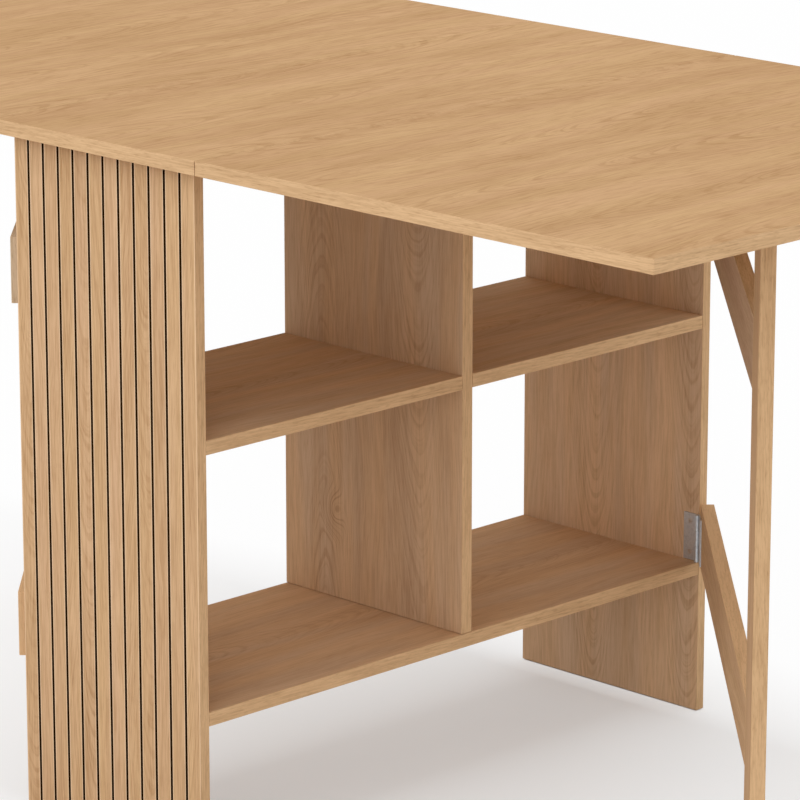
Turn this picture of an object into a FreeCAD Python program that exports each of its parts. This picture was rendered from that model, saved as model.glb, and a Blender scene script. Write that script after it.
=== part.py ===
"""Drop leaf kitchen table with an open storage cabinet under its centre top.

The origin is on the floor under the middle of the table. +X runs along the table's length towards the
right leaf, +Y along the cabinet towards its rear end panel and +Z up. The table looks the same after half
a turn about Z, so most pieces are made once, for the right or the rear half, and placed twice.
"""
import FreeCAD, Part
import Sketcher
import os
import re

# Driving sizes in millimetres, an angle in degrees and a count
SIZES = {
    # table top
    "table_length": 1500,
    "table_width": 800,
    "table_height": 750,
    "top_thickness": 15,
    "strip_width": 303,
    "seam_gap": 1,
    # cabinet
    "end_overhang": 15,
    "cabinet_depth": 270,
    "panel_thickness": 12,
    "shelf_thickness": 15,
    "divider_thickness": 15,
    "lower_shelf_rise": 161,
    "upper_space_height": 275,
    "groove_count": 11,
    "groove_width": 2.8,
    "groove_depth": 2.5,
    # gates
    "gate_reach": 752,
    "gate_thickness": 15,
    "gate_open_angle": 45,
    "post_width": 70,
    "rail_height": 70,
    "lower_rail_rise": 174,
    "upper_rail_drop": 111,
    "rail_end_gap": 1,
    "leaf_rest_gap": 0.5,
    # hinges
    "hinge_length": 54,
    "barrel_radius": 3,
    "barrel_clearance": 0.4,
    "knuckle_gap": 0.4,
    "pin_radius": 1.5,
    "pin_clearance": 0.05,
    "plate_thickness": 1.5,
    "plate_reach": 21.5,
    "tab_inset": 1,
    "screw_margin": 9,
    "gate_hinge_drop": 5,
    "leaf_hinge_inset": 140,
    "leaf_hinge_offset": 60,
    # hinge screws
    "screw_head_radius": 2.8,
    "screw_shank_radius": 1.4,
    "screw_length": 8,
    # divider screws
    "long_screw_head_radius": 4,
    "long_screw_head_height": 3,
    "long_screw_shank_radius": 2,
    "long_screw_length": 45,
    "long_screw_spacing": 140,
    # cross slots in screw heads and cam discs
    "slot_width": 0.8,
    "slot_depth": 0.7,
    # dowels
    "dowel_radius": 3,
    "dowel_short_depth": 8,
    "dowel_long_depth": 20,
    "dowel_spacing": 100,
    "panel_dowel_spacing": 60,
    # cam fittings
    "cam_radius": 7.5,
    "cam_height": 12,
    "cam_reach": 24,
    "cam_thread_radius": 2.5,
    "cam_thread_length": 8,
    "cam_stem_radius": 1.8,
    "cam_head_radius": 2.8,
    "cam_head_length": 3,
    "cam_channel_radius": 3.2,
    "cam_spacing": 190,
    # glides
    "glide_height": 1.2,
    "glide_radius": 5,
    "glide_inset": 20,
    "glide_pin_radius": 1.2,
    "glide_pin_length": 10,
    # fits and cuts
    "fit_clearance": 0.05,
    "end_clearance": 0.5,
    "overrun": 1,
}

# Places that several pieces share, as formulas in the driving sizes
SIDE = "(cabinet_depth / 2)"
TOP_UNDERSIDE = "(table_height - top_thickness)"
PANEL_INNER = "(table_width / 2 - end_overhang - panel_thickness)"
PANEL_MIDDLE = f"({PANEL_INNER} + panel_thickness / 2)"
LOWER_SHELF_TOP = "(lower_shelf_rise + shelf_thickness)"
UPPER_SHELF_TOP = f"({TOP_UNDERSIDE} - upper_space_height)"
UPPER_SHELF_RISE = f"({UPPER_SHELF_TOP} - shelf_thickness)"
AXIS_OFFSET = "(barrel_radius + barrel_clearance)"
GATE_AXIS_Y = f"({PANEL_INNER} - {AXIS_OFFSET})"
LEAF_AXIS_X = "(strip_width / 2 + seam_gap / 2)"
LEAF_AXIS_Z = f"({TOP_UNDERSIDE} - {AXIS_OFFSET})"
POST_START = "(gate_reach - post_width)"
GATE_OUTER = f"({AXIS_OFFSET} + gate_thickness)"
GATE_MIDDLE = f"({AXIS_OFFSET} + gate_thickness / 2)"
SLAT_WIDTH = "((cabinet_depth - groove_count * groove_width) / (groove_count + 1))"

# Each rail of a gate with its height above the floor, and each leaf hinge with its place along the seam
RAILS = {"lower": "lower_rail_rise", "upper": f"({TOP_UNDERSIDE} - upper_rail_drop - rail_height)"}
LEAF_HINGES = {
    "front": "leaf_hinge_inset - table_width / 2",
    "middle": "leaf_hinge_offset",
    "rear": "table_width / 2 - leaf_hinge_inset",
}

# Turns that lay a fitting's own axes along others
UPRIGHT = FreeCAD.Rotation()
Z_TO_X = FreeCAD.Rotation(FreeCAD.Vector(0, 1, 0), 90)
Z_TO_Y = FreeCAD.Rotation(FreeCAD.Vector(1, 0, 0), -90)
Y_TO_Z = FreeCAD.Rotation(FreeCAD.Vector(1, 0, 0), 90)
SWAP_Y_AND_Z = FreeCAD.Rotation(FreeCAD.Vector(0, 1, 1), 180)
HALF_TURN = FreeCAD.Rotation(FreeCAD.Vector(0, 0, 1), 180)

doc = FreeCAD.newDocument("drop_leaf_table")
sheet = doc.addObject("Spreadsheet::Sheet", "Sizes")
for row, (alias, value) in enumerate(SIZES.items(), start=1):
    sheet.set(f"A{row}", alias)
    sheet.set(f"B{row}", str(value))
    sheet.setAlias(f"B{row}", alias)
doc.recompute()

# Finished sub-parts by the name of their node
nodes = {}


def formula(text):
    """Point each size that a formula names at its cell of the sheet."""
    return re.sub(r"[a-z_]+", lambda word: f"Sizes.{word[0]}" if word[0] in SIZES else word[0], str(text))


def bind(item, properties):
    """Tie properties of an object to formulas."""
    for name, text in properties.items():
        item.setExpression(name, formula(text))
    return item


def place(item, at, turn):
    """Turn an object and tie its place to formulas."""
    item.Placement = FreeCAD.Placement(FreeCAD.Vector(), turn)
    return bind(item, {f"Placement.Base.{axis}": text for axis, text in zip("xyz", at) if text != 0})


def box(name, low, high):
    """A block between two corners."""
    item = doc.addObject("Part::Box", name)
    spans = [f"({top}) - ({bottom})" for bottom, top in zip(low, high)]
    bind(item, dict(zip(("Length", "Width", "Height"), spans)))
    return place(item, low, UPRIGHT)


def cylinder(name, radius, height, at=(0, 0, 0), turn=UPRIGHT):
    """A round bar that starts at a point and runs along its turned Z axis."""
    item = bind(doc.addObject("Part::Cylinder", name), {"Radius": radius, "Height": height})
    return place(item, at, turn)


def cone(name, start_radius, end_radius, height):
    """A tapered bar that starts at the origin and runs along Z."""
    item = doc.addObject("Part::Cone", name)
    return bind(item, {"Radius1": start_radius, "Radius2": end_radius, "Height": height})


def fuse(name, items):
    """One solid made of overlapping ones."""
    item = doc.addObject("Part::MultiFuse", name)
    item.Shapes = items
    return item


def group(name, items, at=(0, 0, 0), turn=UPRIGHT):
    """Separate solids kept together, or one solid placed once more."""
    item = doc.addObject("Part::Compound", name)
    item.Links = items
    return place(item, at, turn)


def cut(name, base, tools):
    """A solid with the shapes of some tools taken away."""
    item = doc.addObject("Part::Cut", name)
    item.Base = base
    item.Tool = group(f"{name}_tools", tools)
    return item


def copies(name, source, places, turn=UPRIGHT):
    """A group of copies of one fitting, one at each place."""
    return group(name, [group(f"{name}_{i}", [source], at, turn) for i, at in enumerate(places, start=1)])


def turned(source):
    """A copy given half a turn about the middle of the table."""
    return group(f"{source.Name}_turned", [source], turn=HALF_TURN)


def both_sides(places):
    """Each place and its mirror image across the cabinet."""
    return [(f"{hand} * {x}", y, z) for x, y, z in places for hand in (-1, 1)]


def keep(name, item):
    """Name a finished sub-part."""
    item.Label = name
    nodes[name] = item


def keep_pair(name, other_name, source):
    """Keep a sub-part on its own side, and again after half a turn."""
    keep(name, group(name, [source]))
    keep(other_name, group(other_name, [source], turn=HALF_TURN))


def keep_on_gates(name, source):
    """Keep a sub-part of a gate on the right gate and on the left one, both standing open."""
    gates = {"right": (1, "270 + gate_open_angle"), "left": (-1, "90 + gate_open_angle")}
    for side, (hand, angle) in gates.items():
        item = group(f"{side}_gate_{name}", [source], (f"{hand} * {SIDE}", f"{hand} * {GATE_AXIS_Y}", 0), HALF_TURN)
        bind(item, {"Placement.Rotation.Angle": angle})
        keep(f"{side}_gate_{name}", item)


# Screws, dowels, cam fittings and glides


def cross_slot(name, reach):
    """Room for a driver's cross in a face at the origin."""
    bars = []
    for i, (wide, deep) in enumerate((("slot_width", reach), (reach, "slot_width")), start=1):
        low = (f"-({wide}) / 2", f"-({deep}) / 2", "-overrun")
        high = (f"({wide}) / 2", f"({deep}) / 2", "slot_depth")
        bars.append(box(f"{name}_bar_{i}", low, high))
    return fuse(f"{name}_cross", bars)


def screw(name, head_radius, head_height, shank_radius, length):
    """A countersunk screw driven along +Z, its head's face at the origin, and the hole that takes it."""
    head = cone(f"{name}_head", head_radius, shank_radius, head_height)
    shank = cylinder(f"{name}_shank", shank_radius, f"{length} - {head_height}", (0, 0, head_height))
    solid = cut(name, fuse(f"{name}_blank", [head, shank]), [cross_slot(name, head_radius)])
    wide = f"{head_radius} + fit_clearance"
    narrow = f"{shank_radius} + fit_clearance"
    sink = cone(f"{name}_sink", wide, narrow, head_height)
    bore = cylinder(f"{name}_bore", narrow, f"{length} + end_clearance")
    return solid, fuse(f"{name}_hole", [sink, bore])


def dowel(name, back_depth, front_depth):
    """A wood dowel along Z across a joint at the origin, and the hole that takes it."""
    solid = cylinder(name, "dowel_radius", f"{back_depth} + {front_depth}", (0, 0, f"-({back_depth})"))
    hole = cylinder(
        f"{name}_hole",
        "dowel_radius + fit_clearance",
        f"{back_depth} + {front_depth} + 2 * end_clearance",
        (0, 0, f"-({back_depth}) - end_clearance"),
    )
    return solid, hole


def cam_fitting(name, thickness):
    """A cam disc, its bolt and the room that both take up, for the edge of a board of some thickness.

    The disc's open face is at the origin, the disc goes in along +Z and the bolt leaves it along +Y.
    """
    middle = f"{thickness} / 2"
    channel = cylinder(
        f"{name}_channel",
        "cam_channel_radius",
        "cam_radius + cam_channel_radius + overrun",
        (0, "-cam_channel_radius", middle),
        Z_TO_Y,
    )
    blank = cylinder(f"{name}_blank", "cam_radius", "cam_height")
    disc = cut(f"{name}_disc", blank, [channel, cross_slot(name, "cam_radius")])

    head_start = (0, "-cam_head_length / 2", middle)
    tip_start = (0, "cam_reach", middle)
    head = cylinder(f"{name}_head", "cam_head_radius", "cam_head_length", head_start, Z_TO_Y)
    stem = cylinder(f"{name}_stem", "cam_stem_radius", "cam_reach", (0, 0, middle), Z_TO_Y)
    thread = cylinder(f"{name}_thread", "cam_thread_radius", "cam_thread_length", tip_start, Z_TO_Y)
    bolt = fuse(f"{name}_bolt", [head, stem, thread])

    pocket = cylinder(f"{name}_pocket", "cam_radius + fit_clearance", "cam_height + fit_clearance")
    bore = cylinder(f"{name}_bore", "cam_head_radius + fit_clearance", "cam_reach", (0, 0, middle), Z_TO_Y)
    thread_hole = cylinder(
        f"{name}_thread_hole",
        "cam_thread_radius + fit_clearance",
        "cam_thread_length + end_clearance",
        tip_start,
        Z_TO_Y,
    )
    return disc, bolt, fuse(f"{name}_room", [pocket, bore, thread_hole])


hinge_screw, hinge_screw_hole = screw(
    "hinge_screw", "screw_head_radius", "plate_thickness", "screw_shank_radius", "screw_length"
)
long_screw, long_screw_hole = screw(
    "long_screw",
    "long_screw_head_radius",
    "long_screw_head_height",
    "long_screw_shank_radius",
    "long_screw_length",
)
edge_dowel, edge_dowel_hole = dowel("edge_dowel", "dowel_long_depth", "dowel_short_depth")
through_depth = "(divider_thickness / 2 + dowel_long_depth)"
through_dowel, through_dowel_hole = dowel("through_dowel", through_depth, through_depth)
frame_dowel, frame_dowel_hole = dowel("frame_dowel", "dowel_long_depth", "dowel_long_depth")
shelf_disc, shelf_bolt, shelf_cam_room = cam_fitting("shelf_cam", "shelf_thickness")
divider_disc, divider_bolt, divider_cam_room = cam_fitting("divider_cam", "divider_thickness")

glide_foot = cylinder("glide_foot", "glide_radius", "glide_height")
glide_pin = cylinder("glide_pin", "glide_pin_radius", "glide_height + glide_pin_length")
glide = fuse("glide", [glide_foot, glide_pin])
glide_hole = cylinder(
    "glide_hole", "glide_pin_radius + fit_clearance", "glide_height + glide_pin_length + end_clearance"
)

# Butt hinges, laid flat open with the pin along Z at the origin and the boards on the +Y side


def span(hand, inner, outer):
    """The low and the high end of a stretch on one side of zero."""
    return (inner, outer) if hand > 0 else (f"-({outer})", f"-({inner})")


def hinge_plate(name, hand, knuckles):
    """A hinge plate with knuckles at the given stretches of the pin, its screws and their holes."""
    face = f"({AXIS_OFFSET} - plate_thickness)"
    low, high = span(hand, AXIS_OFFSET, "plate_reach")
    solids = [box(f"{name}_sheet", (low, face, "-hinge_length / 2"), (high, AXIS_OFFSET, "hinge_length / 2"))]
    low, high = span(hand, "tab_inset", f"{AXIS_OFFSET} + plate_thickness")
    for i, (bottom, top) in enumerate(knuckles, start=1):
        solids.append(box(f"{name}_tab_{i}", (low, face, bottom), (high, AXIS_OFFSET, top)))
        height = f"({top}) - ({bottom})"
        solids.append(cylinder(f"{name}_knuckle_{i}", "barrel_radius", height, (0, 0, bottom)))
    middle = f"{hand} * ({AXIS_OFFSET} + plate_reach) / 2"
    places = [(middle, face, f"{end} * (hinge_length / 2 - screw_margin)") for end in (-1, 1)]
    screws = copies(f"{name}_screws", hinge_screw, places, Z_TO_Y)
    holes = copies(f"{name}_holes", hinge_screw_hole, places, Z_TO_Y)
    return cut(name, fuse(f"{name}_blank", solids), [hinge_bore, holes]), screws, holes


hinge_bore = cylinder(
    "hinge_bore",
    "pin_radius + pin_clearance",
    "hinge_length + 2 * overrun",
    (0, 0, "-hinge_length / 2 - overrun"),
)
hinge_pin = cylinder("hinge_pin", "pin_radius", "hinge_length", (0, 0, "-hinge_length / 2"))
inner_end = "(hinge_length / 6 - knuckle_gap / 2)"
outer_start = "(hinge_length / 6 + knuckle_gap / 2)"
outer_end = "hinge_length / 2"
end_knuckles = [(f"-{outer_end}", f"-{outer_start}"), (outer_start, outer_end)]
fixed_plate, fixed_screws, fixed_holes = hinge_plate("fixed_plate", -1, end_knuckles)
moving_plate, moving_screws, moving_holes = hinge_plate("moving_plate", 1, [(f"-{inner_end}", inner_end)])

# Where the fittings go: each place is used for the fitting and for the hole that takes it

shelf_rises = ("lower_shelf_rise", UPPER_SHELF_RISE)
half_cams = "(cam_spacing / 2)"
half_dowels = "(dowel_spacing / 2)"

rear_cam_places = both_sides([(half_cams, f"{PANEL_INNER} - cam_reach", rise) for rise in shelf_rises])
rear_dowel_places = both_sides(
    [(half_dowels, PANEL_INNER, f"{rise} + shelf_thickness / 2") for rise in shelf_rises]
)
rear_shelf_discs = copies("rear_shelf_discs", shelf_disc, rear_cam_places)
rear_shelf_bolts = copies("rear_shelf_bolts", shelf_bolt, rear_cam_places)
rear_shelf_dowels = copies("rear_shelf_dowels", edge_dowel, rear_dowel_places, Z_TO_Y)
rear_shelf_rooms = group(
    "rear_shelf_rooms",
    [
        copies("rear_cam_rooms", shelf_cam_room, rear_cam_places),
        copies("rear_dowel_holes", edge_dowel_hole, rear_dowel_places, Z_TO_Y),
    ],
)

through_places = both_sides([(half_dowels, 0, f"{UPPER_SHELF_RISE} + shelf_thickness / 2")])
through_dowels = copies("through_dowels", through_dowel, through_places, Z_TO_Y)
through_holes = copies("through_holes", through_dowel_hole, through_places, Z_TO_Y)

long_screw_places = both_sides([("(long_screw_spacing / 2)", 0, "lower_shelf_rise")])
long_screws = copies("long_screws", long_screw, long_screw_places)
long_screw_holes = copies("long_screw_holes", long_screw_hole, long_screw_places)

divider_cam_places = both_sides([(half_cams, "-divider_thickness / 2", f"{TOP_UNDERSIDE} - cam_reach")])
divider_dowel_places = both_sides([(half_dowels, 0, TOP_UNDERSIDE)])
divider_discs = copies("divider_discs", divider_disc, divider_cam_places, SWAP_Y_AND_Z)
divider_bolts = copies("divider_bolts", divider_bolt, divider_cam_places, SWAP_Y_AND_Z)
divider_dowels = copies("divider_dowels", edge_dowel, divider_dowel_places)
divider_rooms = group(
    "divider_rooms",
    [
        copies("divider_cam_rooms", divider_cam_room, divider_cam_places, SWAP_Y_AND_Z),
        copies("divider_dowel_holes", edge_dowel_hole, divider_dowel_places),
    ],
)

panel_dowel_places = both_sides(
    [(f"{steps} * panel_dowel_spacing / 2", PANEL_MIDDLE, TOP_UNDERSIDE) for steps in (1, 3)]
)
panel_dowels = copies("panel_dowels", edge_dowel, panel_dowel_places)
panel_dowel_holes = copies("panel_dowel_holes", edge_dowel_hole, panel_dowel_places)

panel_glide_places = both_sides([(f"({SIDE} - glide_inset)", PANEL_MIDDLE, 0)])
panel_glides = copies("panel_glides", glide, panel_glide_places)
panel_glide_holes = copies("panel_glide_holes", glide_hole, panel_glide_places)

leaf_hinge_places = [(LEAF_AXIS_X, along, LEAF_AXIS_Z) for along in LEAF_HINGES.values()]
leaf_fixed_screws = copies("leaf_fixed_screws", fixed_screws, leaf_hinge_places, Y_TO_Z)
leaf_fixed_holes = copies("leaf_fixed_holes", fixed_holes, leaf_hinge_places, Y_TO_Z)
leaf_moving_screws = copies("leaf_moving_screws", moving_screws, leaf_hinge_places, Y_TO_Z)
leaf_moving_holes = copies("leaf_moving_holes", moving_holes, leaf_hinge_places, Y_TO_Z)

gate_hinge_rises = {name: f"{rise} + rail_height / 2 - gate_hinge_drop" for name, rise in RAILS.items()}
panel_hinge_places = [(SIDE, GATE_AXIS_Y, rise) for rise in gate_hinge_rises.values()]
rail_hinge_places = [(0, 0, rise) for rise in gate_hinge_rises.values()]
panel_hinge_screws = copies("panel_hinge_screws", fixed_screws, panel_hinge_places)
panel_hinge_holes = copies("panel_hinge_holes", fixed_holes, panel_hinge_places)
rail_hinge_screws = copies("rail_hinge_screws", moving_screws, rail_hinge_places)
rail_hinge_holes = copies("rail_hinge_holes", moving_holes, rail_hinge_places)

# Grooved end panel


def rectangle(body, plane, name, offset, size):
    """A sketched rectangle, set off from the sketch's origin by two sizes, or by none."""
    sketch = body.newObject("Sketcher::SketchObject", name)
    sketch.AttachmentSupport = [(plane, "")]
    sketch.MapMode = "FlatFace"
    corners = [FreeCAD.Vector(*corner) for corner in ((0, 0), (1, 0), (1, 1), (0, 1))]
    for i in range(len(corners)):
        sketch.addGeometry(Part.LineSegment(corners[i], corners[i - 3]), False)
    for i in range(len(corners)):
        sketch.addConstraint(Sketcher.Constraint("Coincident", i, 2, (i + 1) % len(corners), 1))
    for line in (0, 2):
        sketch.addConstraint(Sketcher.Constraint("Horizontal", line))
    for line in (1, 3):
        sketch.addConstraint(Sketcher.Constraint("Vertical", line))
    measures = {"wide": ("DistanceX", 0, 1, 0, 2, size[0]), "deep": ("DistanceY", 1, 1, 1, 2, size[1])}
    if offset:
        measures["across"] = ("DistanceX", -1, 1, 0, 1, offset[0])
        measures["inward"] = ("DistanceY", -1, 1, 0, 1, offset[1])
    else:
        sketch.addConstraint(Sketcher.Constraint("Coincident", 0, 1, -1, 1))
    for measure, (kind, *points, text) in measures.items():
        index = sketch.addConstraint(Sketcher.Constraint(kind, *points, 1))
        sketch.renameConstraint(index, measure)
        bind(sketch, {f"Constraints.{measure}": text})
    return sketch


def grooved_board():
    """The rear end panel's board, with upright grooves that part its outer face into equal slats."""
    body = doc.addObject("PartDesign::Body", "panel_board")
    origin = {feature.Role: feature for feature in body.Origin.OriginFeatures}
    pad = body.newObject("PartDesign::Pad", "panel_blank")
    pad.Profile = rectangle(body, origin["XY_Plane"], "panel_outline", None, ("cabinet_depth", "panel_thickness"))
    bind(pad, {"Length": f"{TOP_UNDERSIDE} - glide_height"})
    doc.recompute()
    groove = body.newObject("PartDesign::Pocket", "groove")
    groove.Profile = rectangle(
        body,
        origin["XY_Plane"],
        "groove_outline",
        (SLAT_WIDTH, "panel_thickness - groove_depth"),
        ("groove_width", "groove_depth + overrun"),
    )
    groove.Type = "ThroughAll"
    groove.Reversed = True
    doc.recompute()
    if groove.Shape.Volume >= pad.Shape.Volume:
        raise RuntimeError("the groove cuts nothing")
    grooves = body.newObject("PartDesign::LinearPattern", "grooves")
    grooves.Originals = [groove]
    grooves.Direction = (origin["X_Axis"], [""])
    bind(grooves, {"Length": f"(groove_count - 1) * ({SLAT_WIDTH} + groove_width)", "Occurrences": "groove_count"})
    body.Tip = grooves
    return place(body, (f"-{SIDE}", PANEL_INNER, "glide_height"), UPRIGHT)


# Boards of the top and the cabinet

end_panel = cut(
    "end_panel", grooved_board(), [rear_shelf_rooms, panel_dowel_holes, panel_glide_holes, panel_hinge_holes]
)
keep_pair("rear_end_panel", "front_end_panel", end_panel)

strip_blank = box(
    "strip_blank",
    ("-strip_width / 2", "-table_width / 2", TOP_UNDERSIDE),
    ("strip_width / 2", "table_width / 2", "table_height"),
)
strip_holes = [panel_dowel_holes, turned(panel_dowel_holes), divider_rooms]
strip_holes += [leaf_fixed_holes, turned(leaf_fixed_holes)]
keep("centre_top", cut("centre_top", strip_blank, strip_holes))

leaf_blank = box(
    "leaf_blank",
    ("strip_width / 2 + seam_gap", "-table_width / 2", TOP_UNDERSIDE),
    ("table_length / 2", "table_width / 2", "table_height"),
)
keep_pair("right_leaf_board", "left_leaf_board", cut("leaf_board", leaf_blank, [leaf_moving_holes]))

divider_blank = box(
    "divider_blank",
    (f"-{SIDE}", "-divider_thickness / 2", LOWER_SHELF_TOP),
    (SIDE, "divider_thickness / 2", TOP_UNDERSIDE),
)
keep("divider", cut("divider", divider_blank, [through_holes, long_screw_holes, divider_rooms]))

lower_shelf_blank = box(
    "lower_shelf_blank",
    (f"-{SIDE}", f"-{PANEL_INNER}", "lower_shelf_rise"),
    (SIDE, PANEL_INNER, LOWER_SHELF_TOP),
)
lower_shelf_holes = [rear_shelf_rooms, turned(rear_shelf_rooms), long_screw_holes]
keep("lower_shelf", cut("lower_shelf", lower_shelf_blank, lower_shelf_holes))

upper_shelf_blank = box(
    "upper_shelf_blank",
    (f"-{SIDE}", "divider_thickness / 2", UPPER_SHELF_RISE),
    (SIDE, PANEL_INNER, UPPER_SHELF_TOP),
)
upper_shelf = cut("upper_shelf", upper_shelf_blank, [rear_shelf_rooms, through_holes])
keep_pair("rear_upper_shelf", "front_upper_shelf", upper_shelf)

# Gates, made lying along X from their hinge pins at the origin

joint_heights = [f"{rise} + {quarters} * rail_height / 4" for rise in RAILS.values() for quarters in (1, 3)]
frame_dowel_places = [(POST_START, GATE_MIDDLE, height) for height in joint_heights]
frame_dowels = copies("frame_dowels", frame_dowel, frame_dowel_places, Z_TO_X)
frame_dowel_holes = copies("frame_dowel_holes", frame_dowel_hole, frame_dowel_places, Z_TO_X)
post_glide_places = [
    (f"{POST_START} + glide_inset", GATE_MIDDLE, 0),
    ("gate_reach - glide_inset", GATE_MIDDLE, 0),
]
post_glides = copies("post_glides", glide, post_glide_places)
post_glide_holes = copies("post_glide_holes", glide_hole, post_glide_places)

post_blank = box(
    "post_blank",
    (POST_START, AXIS_OFFSET, "glide_height"),
    ("gate_reach", GATE_OUTER, f"{TOP_UNDERSIDE} - leaf_rest_gap"),
)
keep_on_gates("post", cut("post", post_blank, [frame_dowel_holes, post_glide_holes]))
for rail, rise in RAILS.items():
    rail_blank = box(
        f"{rail}_rail_blank",
        ("rail_end_gap", AXIS_OFFSET, rise),
        (POST_START, GATE_OUTER, f"{rise} + rail_height"),
    )
    keep_on_gates(f"{rail}_rail", cut(f"{rail}_rail", rail_blank, [frame_dowel_holes, rail_hinge_holes]))
keep_on_gates("dowels", frame_dowels)
keep_on_gates("glides", post_glides)
keep_on_gates("screws", rail_hinge_screws)

# Hinges at the seams of the top and at the gates

for position, at in zip(LEAF_HINGES, leaf_hinge_places):
    for kind, plate in (("fixed", fixed_plate), ("moving", moving_plate)):
        name = f"leaf_hinge_{position}_{kind}_plate"
        keep_pair(f"right_{name}", f"left_{name}", group(name, [plate], at, Y_TO_Z))
leaf_pins = copies("leaf_pins", hinge_pin, leaf_hinge_places, Y_TO_Z)
keep_pair("right_leaf_hinge_pins", "left_leaf_hinge_pins", leaf_pins)
keep_pair("right_leaf_screws", "left_leaf_screws", leaf_moving_screws)

for rail, panel_at, rail_at in zip(RAILS, panel_hinge_places, rail_hinge_places):
    panel_plate = group(f"{rail}_panel_plate", [fixed_plate], panel_at)
    keep_pair(f"right_gate_hinge_{rail}_fixed_plate", f"left_gate_hinge_{rail}_fixed_plate", panel_plate)
    keep_on_gates(f"hinge_{rail}_moving_plate", group(f"{rail}_rail_plate", [moving_plate], rail_at))
gate_pins = copies("gate_pins", hinge_pin, panel_hinge_places)
keep_pair("right_gate_hinge_pins", "left_gate_hinge_pins", gate_pins)

# Fittings of the cabinet, like ones together

cabinet_screws = [leaf_fixed_screws, panel_hinge_screws]
keep("cabinet_hinge_screws", group("cabinet_hinge_screws", cabinet_screws + [turned(s) for s in cabinet_screws]))
keep("top_dowels", group("top_dowels", [panel_dowels, turned(panel_dowels), divider_dowels]))
keep("shelf_dowels", group("shelf_dowels", [rear_shelf_dowels, turned(rear_shelf_dowels), through_dowels]))
keep("cam_bolts", group("cam_bolts", [rear_shelf_bolts, turned(rear_shelf_bolts), divider_bolts]))
keep("cam_discs", group("cam_discs", [rear_shelf_discs, turned(rear_shelf_discs), divider_discs]))
keep("divider_screws", long_screws)
keep("cabinet_glides", group("cabinet_glides", [panel_glides, turned(panel_glides)]))

# Check every object, then write each sub-part
doc.recompute()
failed = [item.Name for item in doc.Objects if {"Invalid", "Error"} & set(item.State)]
failed += [name for name, item in nodes.items() if item.Shape.isNull() or not item.Shape.isValid()]
if failed:
    raise RuntimeError(f"these failed: {failed}")
os.makedirs("parts", exist_ok=True)
for name, item in nodes.items():
    item.Shape.exportStep(f"parts/{name}.step")
    print(f"{name}: {len(item.Shape.Solids)} solids, {item.Shape.Volume:.0f} cubic mm")
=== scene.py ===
"""Looks of a drop leaf kitchen table with an open storage cabinet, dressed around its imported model.

The boards are drawn again with rounded arrises, grooves and pockets, and get a printed oak decor with its
grain along each board. Hinges, screws, dowels, cam fittings and glides keep their solids and get finishes
of their own. Lengths are in metres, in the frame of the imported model.
"""
import logging
import math
from dataclasses import dataclass
from enum import Enum

import bmesh
import bpy
from mathutils import Euler, Matrix, Vector


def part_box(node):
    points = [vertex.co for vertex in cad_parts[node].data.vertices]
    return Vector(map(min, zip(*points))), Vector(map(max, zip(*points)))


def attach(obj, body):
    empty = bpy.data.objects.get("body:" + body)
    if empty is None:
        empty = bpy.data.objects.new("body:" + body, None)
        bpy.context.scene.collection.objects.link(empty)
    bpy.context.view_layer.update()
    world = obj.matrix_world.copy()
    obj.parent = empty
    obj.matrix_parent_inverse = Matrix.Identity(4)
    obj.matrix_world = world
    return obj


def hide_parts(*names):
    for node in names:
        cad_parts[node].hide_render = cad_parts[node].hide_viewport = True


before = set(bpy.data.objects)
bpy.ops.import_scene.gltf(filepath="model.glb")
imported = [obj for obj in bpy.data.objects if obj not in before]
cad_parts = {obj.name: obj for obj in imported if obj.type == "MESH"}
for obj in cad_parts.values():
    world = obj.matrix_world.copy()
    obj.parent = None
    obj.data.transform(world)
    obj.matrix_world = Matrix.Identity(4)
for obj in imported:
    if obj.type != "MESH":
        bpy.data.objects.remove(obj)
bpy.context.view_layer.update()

Colour = tuple[float, float, float, float]
Triple = tuple[float, float, float]
Span = tuple[float, float]

UP = Vector((0, 0, 1))
ALONG_CABINET = Vector((0, 1, 0))
GATE_OPEN_ANGLE = math.radians(45)

# How much of a face's normal lies along an axis, at the least, where the face is square to that axis
SQUARE = 0.99

# The bevel profile that is part of a circle
ROUND_PROFILE = 0.5

# The Mix node's sockets for colours, by number, because those for other data have the same names
MIX_SHARE = 0
MIX_FIRST = 6
MIX_SECOND = 7
MIX_RESULT = 2

logging.basicConfig(level=logging.INFO, format="%(message)s")
log = logging.getLogger("drop_leaf_table")


class Side(Enum):
    """The two halves of the table, with the way that each one faces along X."""

    RIGHT = 1
    LEFT = -1

    @property
    def word(self) -> str:
        """The side's word in the names of nodes and bodies."""
        return self.name.lower()

    @property
    def gate_line(self) -> Vector:
        """The way from a gate's pins along its rails."""
        return self.value * Vector((math.cos(GATE_OPEN_ANGLE), -math.sin(GATE_OPEN_ANGLE), 0))

    @property
    def gate_face(self) -> Vector:
        """The way that a gate's outer face looks."""
        return self.value * Vector((math.sin(GATE_OPEN_ANGLE), math.cos(GATE_OPEN_ANGLE), 0))


class BoardSlot(Enum):
    """The material slots of a board."""

    FACE = 0
    BAND = 1
    SLAT = 2
    GROOVE = 3


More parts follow.
